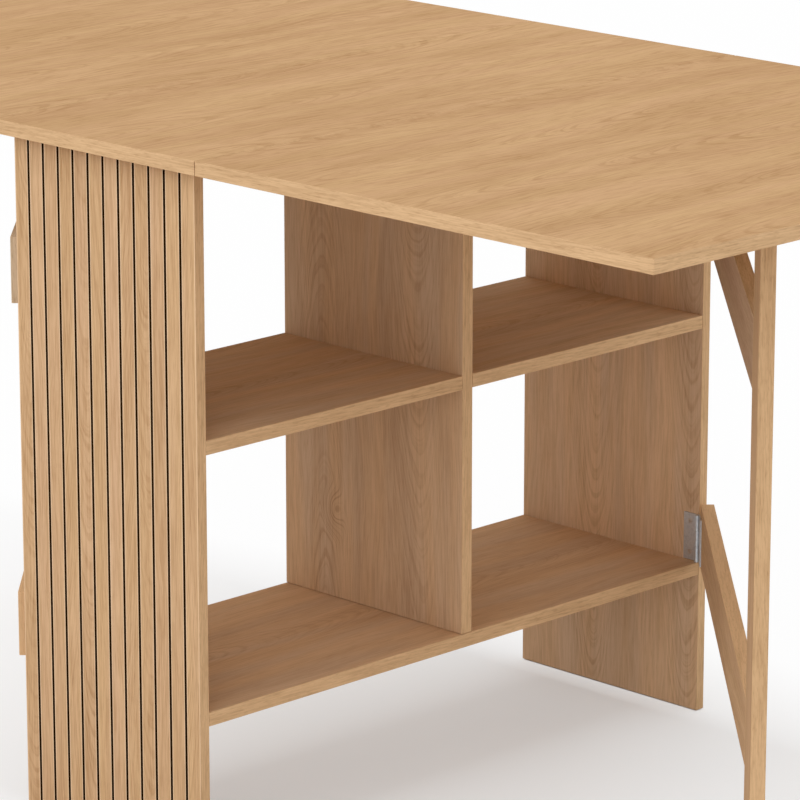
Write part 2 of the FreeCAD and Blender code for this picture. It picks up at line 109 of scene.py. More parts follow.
class Wire:
    """One output of a shader node. Arithmetic on it adds Math nodes."""

    def __init__(self, shader: "Shader", node: bpy.types.Node, output: int | str) -> None:
        """Keep an output.

        Args:
            shader: the tree that holds the node.
            node: the node.
            output: the output's name or number.
        """
        self.shader = shader
        self.node = node
        self.socket = node.outputs[output]

    def output(self, name: str) -> "Wire":
        """Another output of the same node."""
        return Wire(self.shader, self.node, name)

    def _math(self, operation: str, *values: "Wire | float") -> "Wire":
        """A Math node with these values in order."""
        return self.shader.node("ShaderNodeMath", {"operation": operation}, dict(enumerate(values)))

    def __add__(self, other: "Wire | float") -> "Wire":
        """A sum."""
        return self._math("ADD", self, other)

    def __radd__(self, other: float) -> "Wire":
        """A sum that starts with a number."""
        return self._math("ADD", other, self)

    def __sub__(self, other: "Wire | float") -> "Wire":
        """A difference."""
        return self._math("SUBTRACT", self, other)

    def __rsub__(self, other: float) -> "Wire":
        """A difference that starts with a number."""
        return self._math("SUBTRACT", other, self)

    def __mul__(self, other: "Wire | float") -> "Wire":
        """A product."""
        return self._math("MULTIPLY", self, other)

    def __rmul__(self, other: float) -> "Wire":
        """A product that starts with a number."""
        return self._math("MULTIPLY", other, self)

    def __truediv__(self, other: "Wire | float") -> "Wire":
        """A quotient."""
        return self._math("DIVIDE", self, other)

    def __abs__(self) -> "Wire":
        """The size without its sign."""
        return self._math("ABSOLUTE", self)

    def floor(self) -> "Wire":
        """The whole number below."""
        return self._math("FLOOR", self)

    def root(self) -> "Wire":
        """The square root."""
        return self._math("SQRT", self)

    def least(self, other: "Wire | float") -> "Wire":
        """The smaller of two values."""
        return self._math("MINIMUM", self, other)

    def most(self, other: "Wire | float") -> "Wire":
        """The larger of two values."""
        return self._math("MAXIMUM", self, other)

    def rise(self, low: float, high: float) -> "Wire":
        """A smooth rise from 0 at the low value to 1 at the high one."""
        sockets = {"Value": self, "From Min": low, "From Max": high}
        return self.shader.node("ShaderNodeMapRange", {"interpolation_type": "SMOOTHSTEP"}, sockets)

    def within(self, span: Span) -> "Wire":
        """A value from the span's first number, where this is 0, to its second, where this is 1."""
        return span[0] + (span[1] - span[0]) * self


class Shader:
    """The node tree of a material or of the world, written as expressions."""

    def __init__(self, owner: bpy.types.Material | bpy.types.World) -> None:
        """Start with an empty tree.

        Args:
            owner: the material or the world.
        """
        owner.use_nodes = True
        self.tree = owner.node_tree
        self.tree.nodes.clear()

    def node(
        self,
        kind: str,
        settings: dict[str, object] | None = None,
        sockets: dict[int | str, object] | None = None,
        output: int | str = 0,
    ) -> Wire | None:
        """Add a node.

        Args:
            kind: Blender's name for the type of node.
            settings: the node's own settings, which are set first.
            sockets: a value or a wire for each input, by its name or number.
            output: the output that is wanted.

        Returns:
            That output, or None for a node that has no outputs.
        """
        node = self.tree.nodes.new(kind)
        for name, value in (settings or {}).items():
            setattr(node, name, value)
        for name, value in (sockets or {}).items():
            if isinstance(value, Wire):
                self.tree.links.new(value.socket, node.inputs[name])
            else:
                node.inputs[name].default_value = value
        return Wire(self, node, output) if node.outputs else None

    def place(self) -> Wire:
        """Where a point lies, in the piece's own axes."""
        return self.node("ShaderNodeTexCoord", output="Object")

    def parts(self, place: Wire) -> Wire:
        """The X part of a vector, with Y and Z among the node's other outputs."""
        return self.node("ShaderNodeSeparateXYZ", {}, {0: place})

    def vector(self, operation: str, first: Wire, second: Wire | Vector) -> Wire:
        """A sum, product or the like of two vectors."""
        return self.node("ShaderNodeVectorMath", {"operation": operation}, {0: first, 1: second})

    def shifted(self, place: Wire, steps: dict[str, Wire]) -> Wire:
        """A place that is moved by a step along each named axis."""
        return self.vector("ADD", place, self.node("ShaderNodeCombineXYZ", {}, steps))

    def noise(self, place: Wire, size: Triple, detail: float = 1.0) -> Wire:
        """Noise with marks of a given size.

        Args:
            place: where each point lies.
            size: how long a mark is along X, Y and Z.
            detail: how many finer layers are added.

        Returns:
            Values around a half.
        """
        stretched = self.vector("MULTIPLY", place, Vector([1 / length for length in size]))
        return self.node("ShaderNodeTexNoise", {}, {"Vector": stretched, "Scale": 1.0, "Detail": detail})

    def swing(self, place: Wire, size: Triple, detail: float = 1.0) -> Wire:
        """Noise with marks of a given size, with values around 0."""
        return self.noise(place, size, detail) - 0.5

    def chance(self, number: Wire) -> Wire:
        """A value from 0 to 1 by chance, always the same for the same number."""
        return self.node("ShaderNodeTexWhiteNoise", {"noise_dimensions": "1D"}, {"W": number})

    def blend(self, share: Wire | float, first: Wire | Colour, second: Wire | Colour) -> Wire:
        """A colour between two colours, by a share of the second."""
        sockets = {MIX_SHARE: share, MIX_FIRST: first, MIX_SECOND: second}
        return self.node("ShaderNodeMix", {"data_type": "RGBA"}, sockets, MIX_RESULT)

    def bump(self, height: Wire, depth: float) -> Wire:
        """The normal of a surface whose height goes from 0 to 1 times a depth."""
        return self.node("ShaderNodeBump", {}, {"Height": height, "Distance": depth, "Strength": 1.0})

    def seen(self) -> Wire:
        """1 where the camera looks, also by reflection or through glass, and 0 for the light itself."""
        path = self.node("ShaderNodeLightPath", output="Is Camera Ray")
        return (path + path.output("Is Glossy Ray") + path.output("Is Transmission Ray")).least(1.0)

    def surface(self, sockets: dict[int | str, object]) -> None:
        """End the tree in one principled surface with these sockets."""
        principled = self.node("ShaderNodeBsdfPrincipled", {}, sockets)
        self.node("ShaderNodeOutputMaterial", {}, {"Surface": principled})


@dataclass(frozen=True)
class Marks:
    """Marks of one kind on a surface, drawn by noise.

    Attributes:
        size: how long a mark is along X, Y and Z.
        span: the noise that gives no mark, and the noise that gives a full one.
        detail: how many finer layers are added.
    """

    size: Triple
    span: Span
    detail: float = 1.0

    def draw(self, shader: Shader, place: Wire) -> Wire:
        """Draw the marks, from 0 for none to 1 for a full one."""
        return shader.noise(place, self.size, self.detail).rise(*self.span)


# How far one seed moves the figure of a board
FIGURE_STEP = Vector((1.37, 0.71, 0.43))

# How long the grain's bends, its wobbles and the crowds of its arches are along X, Y and Z
STRAY_SIZE = (0.40, 0.09, 0.09)
WOBBLE_SIZE = (0.06, 0.014, 0.014)
WOBBLE_DETAIL = 2.0
CROWDING_SIZE = (0.10, 0.40, 0.40)

# The noise that the rings follow, and where in it they are palest and darkest
RING_NOISE = {"Scale": 1.0, "Detail": 2.0, "Roughness": 0.7}
RING_SPAN = (0.42, 0.68)

# The marks of the wood, beside its rings
STREAK_SPAN = (0.32, 0.72)
STREAK_DETAIL = 2.0
PATCHES = Marks((0.22, 0.05, 0.05), (0.30, 0.65))
FIBRES = Marks((0.06, 0.0021, 0.0021), (0.34, 0.70), 2.0)
DASHES = Marks((0.024, 0.0032, 0.0032), (0.48, 0.74))
PORES = Marks((0.012, 0.0005, 0.0005), (0.56, 0.70))
TINT = Marks((0.30, 0.030, 0.030), (0.30, 0.70))


@dataclass(frozen=True)
class OakFigure:
    """The figure of flat sawn oak, its grain along a board's own X axis.

    Attributes:
        seed: a number that moves the figure, so that no two boards look alike.
        arch_width: the width of one leaf of veneer, which has one run of arches.
        arch_place: how far the arches stand from the board's middle, as a share of that width.
        arch_slope: how fast the rings sink away along the board. Its sign turns the arches.
        arch_blunt: how blunt the arches are.
        arch_blunt_share: the least and the most of that bluntness, from leaf to leaf.
        arch_scatter: how far along the board the arches of two leaves can lie apart.
        arch_crowding: how far the arches are crowded along the board.
        arch_sway: how much the arches follow the grain to the sides.
        mirrored: whether every second leaf of veneer lies the other way round.
        sway: how far the grain strays to the sides.
        waver: how far it strays on a short way.
        heart_span: how far from the arches' middle line the rings start to fade, and end fading.
        heart_share: how much of the rings shows far from that line, and on it.
        patch_share: how much of the rings shows between the patches, and in them.
        ring_pitch: the width of a few years' growth.
        ring_waver: how far the rings waver.
        ring_strength: how much the rings darken the wood.
        streak_length: how long the broad streaks are.
        streak_width: how wide they are.
        streak_strength: how much they darken it.
        fibre_strength: how much the fine fibres darken it.
        dash_strength: how much the short dashes darken it.
        pore_strength: how much the pores darken it between the rings, and on them.
        knot: where a small knot lies, along and across the board, if it has one.
        knot_half: half the knot's length and half its width.
        knot_rise: how much the rings climb towards the knot.
        knot_strength: how much the knot darkens the wood between the rings, and on them.
    """

    seed: int
    arch_width: float = 0.146
    arch_place: float = 0.0
    arch_slope: float = 0.09
    arch_blunt: float = 0.038
    arch_blunt_share: Span = (0.7, 1.3)
    arch_scatter: float = 0.3
    arch_crowding: float = 0.05
    arch_sway: float = 0.6
    mirrored: bool = False
    sway: float = 0.036
    waver: float = 0.005
    heart_span: Span = (0.012, 0.048)
    heart_share: Span = (0.30, 1.0)
    patch_share: Span = (0.4, 1.0)
    ring_pitch: float = 0.0014
    ring_waver: float = 0.0014
    ring_strength: float = 0.32
    streak_length: float = 0.34
    streak_width: float = 0.025
    streak_strength: float = 0.22
    fibre_strength: float = 0.28
    dash_strength: float = 0.10
    pore_strength: Span = (0.05, 0.20)
    knot: Span | None = None
    knot_half: Span = (0.040, 0.024)
    knot_rise: float = 0.011
    knot_strength: Span = (0.06, 0.36)

    def near_knot(self, parts: Wire) -> Wire:
        """How near a point lies to the knot.

        Args:
            parts: where the point lies, parted into X, Y and Z.

        Returns:
            A value from 0 outside the knot to 1 at its middle.
        """
        along = (parts.output("X") - self.knot[0]) / self.knot_half[0]
        aside = (parts.output("Y") - self.knot[1]) / self.knot_half[1]
        return 1 - (along * along + aside * aside).root().rise(0.0, 1.0)

    def slope(self, leaf: Wire) -> Wire | float:
        """How fast the rings of a leaf of veneer sink away along the board.

        Args:
            leaf: the leaf's number.

        Returns:
            The slope, which changes its sign from leaf to leaf where the leaves are mirrored.
        """
        if not self.mirrored:
            return self.arch_slope
        pairs = 0.5 * leaf
        # An even leaf leaves 0 over and an odd one a half, which gives 1 and -1
        return self.arch_slope * (1 - 4 * (pairs - pairs.floor()))

    def draw(self, shader: Shader, place: Wire) -> tuple[Wire, Wire, Wire]:
        """Draw the figure.

        Args:
            shader: the tree that gets the nodes.
            place: where each point lies, with X along the grain.

        Returns:
            How dark the wood is, how open its pores are and a slow change of tint, each from 0 to 1.
        """
        parts = shader.parts(place)
        moved = shader.vector("ADD", place, self.seed * FIGURE_STEP)
        wobble = shader.swing(moved, WOBBLE_SIZE, WOBBLE_DETAIL)
        drift = self.sway * shader.swing(moved, STRAY_SIZE) + self.waver * wobble
        flow = shader.shifted(moved, {"Y": drift})

        turns = (parts.output("Y") + self.arch_sway * drift) / self.arch_width + (0.5 - self.arch_place)
        leaf = turns.floor()
        aside = (turns - leaf - 0.5) * self.arch_width
        chance = shader.chance(leaf + self.seed)
        along = parts.output("X") + self.arch_scatter * (chance - 0.5)
        along = along + self.arch_crowding * shader.swing(moved, CROWDING_SIZE)
        blunt = self.arch_blunt * chance.within(self.arch_blunt_share)
        ridge = (aside * aside + blunt * blunt).root() + self.slope(leaf) * along + self.ring_waver * wobble
        if self.knot:
            knot = self.near_knot(parts)
            ridge = ridge + self.knot_rise * knot
        years = {"W": ridge / self.ring_pitch, **RING_NOISE}
        rings = shader.node("ShaderNodeTexNoise", {"noise_dimensions": "1D"}, years).rise(*RING_SPAN)
        heart = 1 - abs(aside).rise(*self.heart_span)

        streak_size = (self.streak_length, self.streak_width, self.streak_width)
        streaks = Marks(streak_size, STREAK_SPAN, STREAK_DETAIL).draw(shader, flow)
        patches = PATCHES.draw(shader, moved)
        pores = PORES.draw(shader, flow)
        shade = rings * heart.within(self.heart_share) * patches.within(self.patch_share) * self.ring_strength
        shade = shade + streaks * self.streak_strength
        shade = shade + FIBRES.draw(shader, flow) * self.fibre_strength
        shade = shade + DASHES.draw(shader, flow) * self.dash_strength
        shade = shade + pores * rings.within(self.pore_strength)
        if self.knot:
            shade = shade + knot * rings.within(self.knot_strength)
        return shade.least(1.0), pores, TINT.draw(shader, flow)


def tinted(colour: Colour, shares: Triple) -> Colour:
    """A colour with its red, green and blue multiplied."""
    return tuple(part * share for part, share in zip(colour, (*shares, 1)))


@dataclass(frozen=True)
class OakTones:
    """The colours of the oak decor.

    Attributes:
        yellow: the palest wood where it is yellow.
        pink: the palest wood where it is pink.
        brown: the darkest wood.
    """

    yellow: Colour
    pink: Colour
    brown: Colour

    def times(self, red: float, green: float, blue: float) -> "OakTones":
        """The same colours with their red, green and blue multiplied."""
        shares = (red, green, blue)
        return OakTones(*(tinted(tone, shares) for tone in (self.yellow, self.pink, self.brown)))

    def mixed(self, shader: Shader, pinkness: Wire, shade: Wire) -> Wire:
        """The colour of the wood, by how pink and how dark it is."""
        return shader.blend(shade, shader.blend(pinkness, self.yellow, self.pink), self.brown)


OUTER_TONES = OakTones((0.644, 0.414, 0.220, 1), (0.640, 0.402, 0.222, 1), (0.370, 0.197, 0.083, 1))
SLAT_TONES = OakTones((0.696, 0.456, 0.250, 1), (0.682, 0.443, 0.274, 1), (0.402, 0.220, 0.100, 1))
# Painted light and shade: the boards inside the cabinet are the same oak decor but get greyer tones of their
# own, set board by board, which carry how the light falls inside the cabinet; the rear panel's are paler, for
# the light that reaches it
INNER_TONES = OakTones((0.692, 0.470, 0.288, 1), (0.636, 0.458, 0.310, 1), (0.385, 0.230, 0.120, 1))
DIVIDER_TONES = INNER_TONES.times(1.01, 0.97, 0.94)
REAR_TONES = INNER_TONES.times(1.10, 1.08, 1.07)
LOWER_SHELF_TONES = INNER_TONES.times(1.0, 0.955, 0.92)
UPPER_SHELF_TONES = INNER_TONES.times(1.03, 1.06, 1.11)
# Painted shade: the gate parts get duller, bluer tones than the top, and the upper rail, under the leaf,
# duller still
GATE_TONES = OUTER_TONES.times(0.92, 0.94, 1.02)
UPPER_RAIL_TONES = GATE_TONES.times(0.88, 0.90, 1.0)


@dataclass(frozen=True)
class Finish:
    """A finish that is made as one material.

    Attributes:
        name: the material's name.
    """

    name: str

    def paint(self, shader: Shader) -> dict[str, object]:
        """Draw what changes over the surface.

        Args:
            shader: the tree that gets the nodes.

        Returns:
            The sockets of the surface.
        """
        raise NotImplementedError

    def make(self) -> bpy.types.Material:
        """Make the material.

        Returns:
            The material.
        """
        material = bpy.data.materials.new(self.name)
        shader = Shader(material)
        shader.surface(self.paint(shader))
        return material


# How rough the oak decor is, and how much rougher in its pores and where its tint is pink
OAK_ROUGHNESS = 0.60
PORE_ROUGHNESS = 0.10
TINT_ROUGHNESS = 0.05


def oak_roughness(pores: Wire, tint: Wire) -> Wire:
    """How rough the oak decor is, by how open its pores are and by its tint."""
    return OAK_ROUGHNESS + PORE_ROUGHNESS * pores + TINT_ROUGHNESS * tint


@dataclass(frozen=True)
class OakFace(Finish):
    """Matt oak decor on the flat faces of a board.

    Attributes:
        figure: the figure of the wood.
        half: half the board's length along the grain and half its width.
        tones: the colours of the wood.
        pore_depth: how deep the pores are.
        rim_width: how far in from the board's edges the wood is worn.
        rim_share: how much it is worn at the edge.
        rim_gloss: how much smoother it is there.
    """

    figure: OakFigure
    half: Span
    tones: OakTones
    pore_depth: float = 0.00006
    rim_width: float = 0.006
    rim_share: float = 0.12
    rim_gloss: float = 0.06

    def rim(self, shader: Shader, place: Wire) -> Wire:
        """How near a point lies to the board's edges.

        Args:
            shader: the tree that gets the nodes.
            place: where each point lies.

        Returns:
            A value from 0 inside to 1 at the edge.
        """
        parts = shader.parts(place)
        length_left = self.half[0] - abs(parts.output("X"))
        width_left = self.half[1] - abs(parts.output("Y"))
        return 1 - length_left.least(width_left).rise(0.0, self.rim_width)

    def paint(self, shader: Shader) -> dict[str, object]:
        """Draw the wood.

        Args:
            shader: the tree that gets the nodes.

        Returns:
            The sockets of the surface.
        """
        place = shader.place()
        shade, pores, tint = self.figure.draw(shader, place)
        rim = self.rim(shader, place)
        wood = self.tones.mixed(shader, tint, shade)
        return {
            "Base Color": shader.blend(rim * self.rim_share, wood, self.tones.yellow),
            "Roughness": oak_roughness(pores, tint) - self.rim_gloss * rim,
            "Specular IOR Level": 0.0,
            "Normal": shader.bump(1 - pores, self.pore_depth),
        }


@dataclass(frozen=True)
class SlattedOak(Finish):
    """Oak slats side by side, each one cut from another place of the wood.

    Attributes:
        figure: the figure of the wood before it is cut up.
        half_width: half the width of the board that carries the slats.
        slat_width: the width of one slat.
        pitch: the width of one slat and one groove.
        step: how far apart two neighbours lay in the wood before it was cut up.
        reach: how far apart along the grain two slats can have lain.
        shade_spread: how much darker one slat can be than another.
        hue_share: how much of the change from yellow to pink goes from slat to slat.
        tones: the colours of the wood.
        arris_highlight: a painted highlight, a pale colour along the slats' arrises where they catch the
            light.
        rim_width: how far in from the arrises the painted highlight reaches.
        rim_share: how strong the painted highlight is at the arris.
        pore_depth: how deep the pores are.
    """

    figure: OakFigure
    half_width: float
    slat_width: float
    pitch: float
    step: float = 0.087
    reach: float = 0.4
    shade_spread: float = 0.12
    hue_share: float = 0.55
    tones: OakTones = SLAT_TONES
    arris_highlight: Colour = (0.860, 0.610, 0.390, 1)
    rim_width: float = 0.0024
    rim_share: float = 0.90
    pore_depth: float = 0.00008

    def paint(self, shader: Shader) -> dict[str, object]:
        """Draw the slats.

        Args:
            shader: the tree that gets the nodes.

        Returns:
            The sockets of the surface.
        """
        place = shader.place()
        across = shader.parts(place).output("Y") + self.half_width
        number = (across / self.pitch).floor()
        chance = shader.chance(number + self.figure.seed)
        cut = shader.shifted(place, {"X": self.reach * chance, "Y": self.step * number, "Z": chance})
        shade, pores, tint = self.figure.draw(shader, cut)
        hue = shader.chance(number - self.figure.seed)
        pinkness = (1 - self.hue_share) * tint + self.hue_share * hue
        wood = self.tones.mixed(shader, pinkness, (shade + self.shade_spread * chance).least(1.0))
        # Painted highlight: a pale rim along each slat's arrises
        aside = abs(across - self.pitch * number - self.slat_width / 2)
        rim = aside.rise(self.slat_width / 2 - self.rim_width, self.slat_width / 2)
        return {
            "Base Color": shader.blend(self.rim_share * rim, wood, self.arris_highlight),
            "Roughness": oak_roughness(pores, tint),
            "Specular IOR Level": 0.0,
            "Normal": shader.bump(1 - pores, self.pore_depth),
        }


# How far one seed moves an edge band's lines, and the marks of every band
BAND_STEP = Vector((0.53, 0.97, 0.31))
BAND_LINES = Marks((0.035, 0.035, 0.0015), (0.34, 0.70), 2.0)
BAND_FLECKS = Marks((0.009, 0.009, 0.0011), (0.50, 0.72))
BAND_PATCHES = Marks((0.10, 0.10, 0.012), (0.30, 0.70))


@dataclass(frozen=True)
class EdgeBand(Finish):
    """Oak edge band, with fine lines along each narrow edge of a board.

    Attributes:
        seed: a number that moves the lines.
        level: how pale the band is, beside others.
        hue: its red, green and blue, beside others.
        pale: the palest line.
        brown: the darkest line.
        climb: how fast the lines climb across the edge.
        line_strength: how much the lines darken the band.
        fleck_strength: how much the short flecks darken it.
        patch_strength: how much the broad patches darken it.
        roughness: how rough it is between the flecks, and on them.
        relief: how deep the flecks are.
    """

    seed: int
    level: float = 1.0
    hue: Triple = (1.0, 1.0, 1.0)
    pale: Colour = (0.720, 0.472, 0.263, 1)
    brown: Colour = (0.420, 0.244, 0.117, 1)
    climb: float = 0.02
    line_strength: float = 0.34
    fleck_strength: float = 0.26
    patch_strength: float = 0.18
    roughness: Span = (0.58, 0.68)
    relief: float = 0.00005

    def paint(self, shader: Shader) -> dict[str, object]:
        """Draw the lines.

        Args:
            shader: the tree that gets the nodes.

        Returns:
            The sockets of the surface.
        """
        place = shader.place()
        parts = shader.parts(place)
        moved = shader.vector("ADD", place, self.seed * BAND_STEP)
        moved = shader.shifted(moved, {"Z": self.climb * (parts.output("X") + parts.output("Y"))})
        flecks = BAND_FLECKS.draw(shader, moved)
        shade = self.line_strength * BAND_LINES.draw(shader, moved) + self.fleck_strength * flecks
        shade = shade + self.patch_strength * BAND_PATCHES.draw(shader, moved) + (1 - self.level)
        pale, brown = (tinted(colour, self.hue) for colour in (self.pale, self.brown))
        return {
            "Base Color": shader.blend(shade.most(0.0), pale, brown),
            "Roughness": flecks.within(self.roughness),
            "Specular IOR Level": 0.0,
            "Normal": shader.bump(1 - flecks, self.relief),
        }


@dataclass(frozen=True)
class GroovePaint(Finish):
    """Dull dark brown paint in the grooves between the slats, with a little dust.

    Attributes:
        clean: the clean paint.
        dusty: the dusty paint.
        specks: the specks of dust.
        roughness: how rough the clean paint is, and the dusty paint.
        relief: how far the dust stands up.
    """

    clean: Colour = (0.034, 0.014, 0.003, 1)
    dusty: Colour = (0.050, 0.024, 0.009, 1)
    specks: Marks = Marks((0.006, 0.002, 0.002), (0.45, 0.75), 3.0)
    roughness: Span = (0.62, 0.82)
    relief: float = 0.00008

    def paint(self, shader: Shader) -> dict[str, object]:
        """Draw the specks of dust.

        Args:
            shader: the tree that gets the nodes.

        Returns:
            The sockets of the surface.
        """
        specks = self.specks.draw(shader, shader.place())
        return {
            "Base Color": shader.blend(specks, self.clean, self.dusty),
            "Roughness": specks.within(self.roughness),
            "Specular IOR Level": 0.0,
            "Normal": shader.bump(specks, self.relief),
        }


@dataclass(frozen=True)
class PlatedMetal(Finish):
    """Plated or cast metal with fine brushing and a mottled tone.

    Attributes:
        bright: the brightest metal.
        dull: the dullest metal.
        roughness: how rough the metal is where it is bright.
        brush: how long the brush marks are along X, Y and Z.
        brush_detail: how many finer layers they have.
        mottle: the dull spots.
        mottle_roughness: how much rougher the dull spots are.
        brush_roughness: how much rougher the brush marks are.
        relief: how deep the brush marks are.
    """

    bright: Colour
    dull: Colour
    roughness: float
    brush: Triple
    brush_detail: float = 2.0
    mottle: Marks = Marks((0.004, 0.004, 0.004), (0.30, 0.75), 3.0)
    mottle_roughness: float = 0.12
    brush_roughness: float = 0.10
    relief: float = 0.00003

    def paint(self, shader: Shader) -> dict[str, object]:
        """Draw the dull spots and the brush marks.

        Args:
            shader: the tree that gets the nodes.

        Returns:
            The sockets of the surface.
        """
        place = shader.place()
        mottle = self.mottle.draw(shader, place)
        brushing = shader.noise(place, self.brush, self.brush_detail)
        return {
            "Base Color": shader.blend(mottle, self.bright, self.dull),
            "Metallic": 1.0,
            "Roughness": self.roughness + self.mottle_roughness * mottle + self.brush_roughness * brushing,
            "Normal": shader.bump(brushing, self.relief),
        }


@dataclass(frozen=True)
class TurnedBeech(Finish):
    """Pale beech of the dowels, with fine flecks.

    Attributes:
        pale: the wood between the flecks.
        fleck: the flecks.
        flecks: where the flecks lie.
        roughness: how rough the wood is between the flecks, and on them.
        relief: how deep the flecks are.
    """

    pale: Colour = (0.62, 0.42, 0.25, 1)
    fleck: Colour = (0.42, 0.24, 0.13, 1)
    flecks: Marks = Marks((0.0012, 0.0012, 0.006), (0.50, 0.70), 2.0)
    roughness: Span = (0.60, 0.70)
    relief: float = 0.00005

    def paint(self, shader: Shader) -> dict[str, object]:
        """Draw the flecks.

        Args:
            shader: the tree that gets the nodes.

        Returns:
            The sockets of the surface.
        """
        flecks = self.flecks.draw(shader, shader.place())
        return {
            "Base Color": shader.blend(flecks, self.pale, self.fleck),
            "Roughness": flecks.within(self.roughness),
            "Normal": shader.bump(1 - flecks, self.relief),
        }


@dataclass(frozen=True)
class MouldedPlastic(Finish):
    """Pale moulded plastic of the glides, with a fine grain.

    Attributes:
        clean: the plastic's colour.
        scuffed: its colour where it has worn against a floor.
        scuffs: where it has worn.
        pebble_size: how long a pebble of the grain is along X, Y and Z.
        roughness: how rough the clean plastic is, and the scuffed plastic.
        relief: how high the grain is.
    """

    clean: Colour = (0.62, 0.56, 0.48, 1)
    scuffed: Colour = (0.46, 0.41, 0.35, 1)
    scuffs: Marks = Marks((0.003, 0.003, 0.001), (0.50, 0.75), 2.0)
    pebble_size: Triple = (0.0004, 0.0004, 0.0004)
    roughness: Span = (0.42, 0.62)
    relief: float = 0.00004

    def paint(self, shader: Shader) -> dict[str, object]:
        """Draw the scuffs and the grain.

        Args:
            shader: the tree that gets the nodes.

        Returns:
            The sockets of the surface.
        """
        place = shader.place()
        scuffs = self.scuffs.draw(shader, place)
        return {
            "Base Color": shader.blend(scuffs, self.clean, self.scuffed),
            "Roughness": scuffs.within(self.roughness),
            "Normal": shader.bump(shader.noise(place, self.pebble_size), self.relief),
        }


@dataclass(frozen=True)
class Lie:
    """How a board lies: its middle, its half sizes and its axes.

    Attributes:
        middle: the board's middle.
        half: half its length along the grain, half its width and half its thickness.
        turn: the turn from the board's own axes to the model's.
    """

    middle: Vector
    half: Vector
    turn: Matrix

    @classmethod
    def of_node(cls, node: str, grain: Vector, face: Vector) -> "Lie":
        """Measure a board.

        Args:
            node: the name of the board's node.
            grain: the way that its grain runs.
            face: the way that its face looks.

        Returns:
            How the board lies.
        """
        to_board = Matrix((grain, face.cross(grain), face))
        corners = [to_board @ vertex.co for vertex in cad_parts[node].data.vertices]
        low = Vector([min(values) for values in zip(*corners)])
        high = Vector([max(values) for values in zip(*corners)])
        to_model = to_board.transposed()
        return cls(to_model @ ((low + high) / 2), (high - low) / 2, to_model)

    def matrix(self) -> Matrix:
        """The board's place in the model."""
        return Matrix.Translation(self.middle) @ self.turn.to_4x4()


@dataclass
class Pocket:
    """A round hole for a fitting that lies flush in a board's face.

    Attributes:
        mouth: the middle of its mouth, in the model.
        inward: the way into the board.
        radius: its radius.
        depth: how deep it goes.
        overrun: how far the room that is cut goes on outside the mouth.
        sides: the number of flats that its round is drawn with.
    """

    mouth: Vector
    inward: Vector
    radius: float
    depth: float
    overrun: float = 0.002
    sides: int = 48

    def add_to(self, mesh: bmesh.types.BMesh) -> None:
        """Draw the room that the pocket takes up.

        Args:
            mesh: the mesh that gets the room.
        """
        middle = self.mouth + self.inward * (self.depth - self.overrun) / 2
        turn = self.inward.to_track_quat("Z", "Y").to_matrix().to_4x4()
        bmesh.ops.create_cone(
            mesh,
            cap_ends=True,
            segments=self.sides,
            radius1=self.radius,
            radius2=self.radius,
            depth=self.depth + self.overrun,
            matrix=Matrix.Translation(middle) @ turn,
        )


def round_edges(mesh: bmesh.types.BMesh, edges: list[bmesh.types.BMEdge], radius: float, steps: int) -> None:
    """Round some edges of a mesh, each one with a number of flats."""
    bmesh.ops.bevel(mesh, geom=edges, offset=radius, segments=steps, profile=ROUND_PROFILE, affect="EDGES")


def put_in_scene(name: str, data: bpy.types.ID) -> bpy.types.Object:
    """Put a mesh, a lamp or a camera into the scene.

    Args:
        name: the new object's name.
        data: what it shows.

    Returns:
        The new object.
    """
    thing = bpy.data.objects.new(name, data)
    bpy.context.scene.collection.objects.link(thing)
    return thing


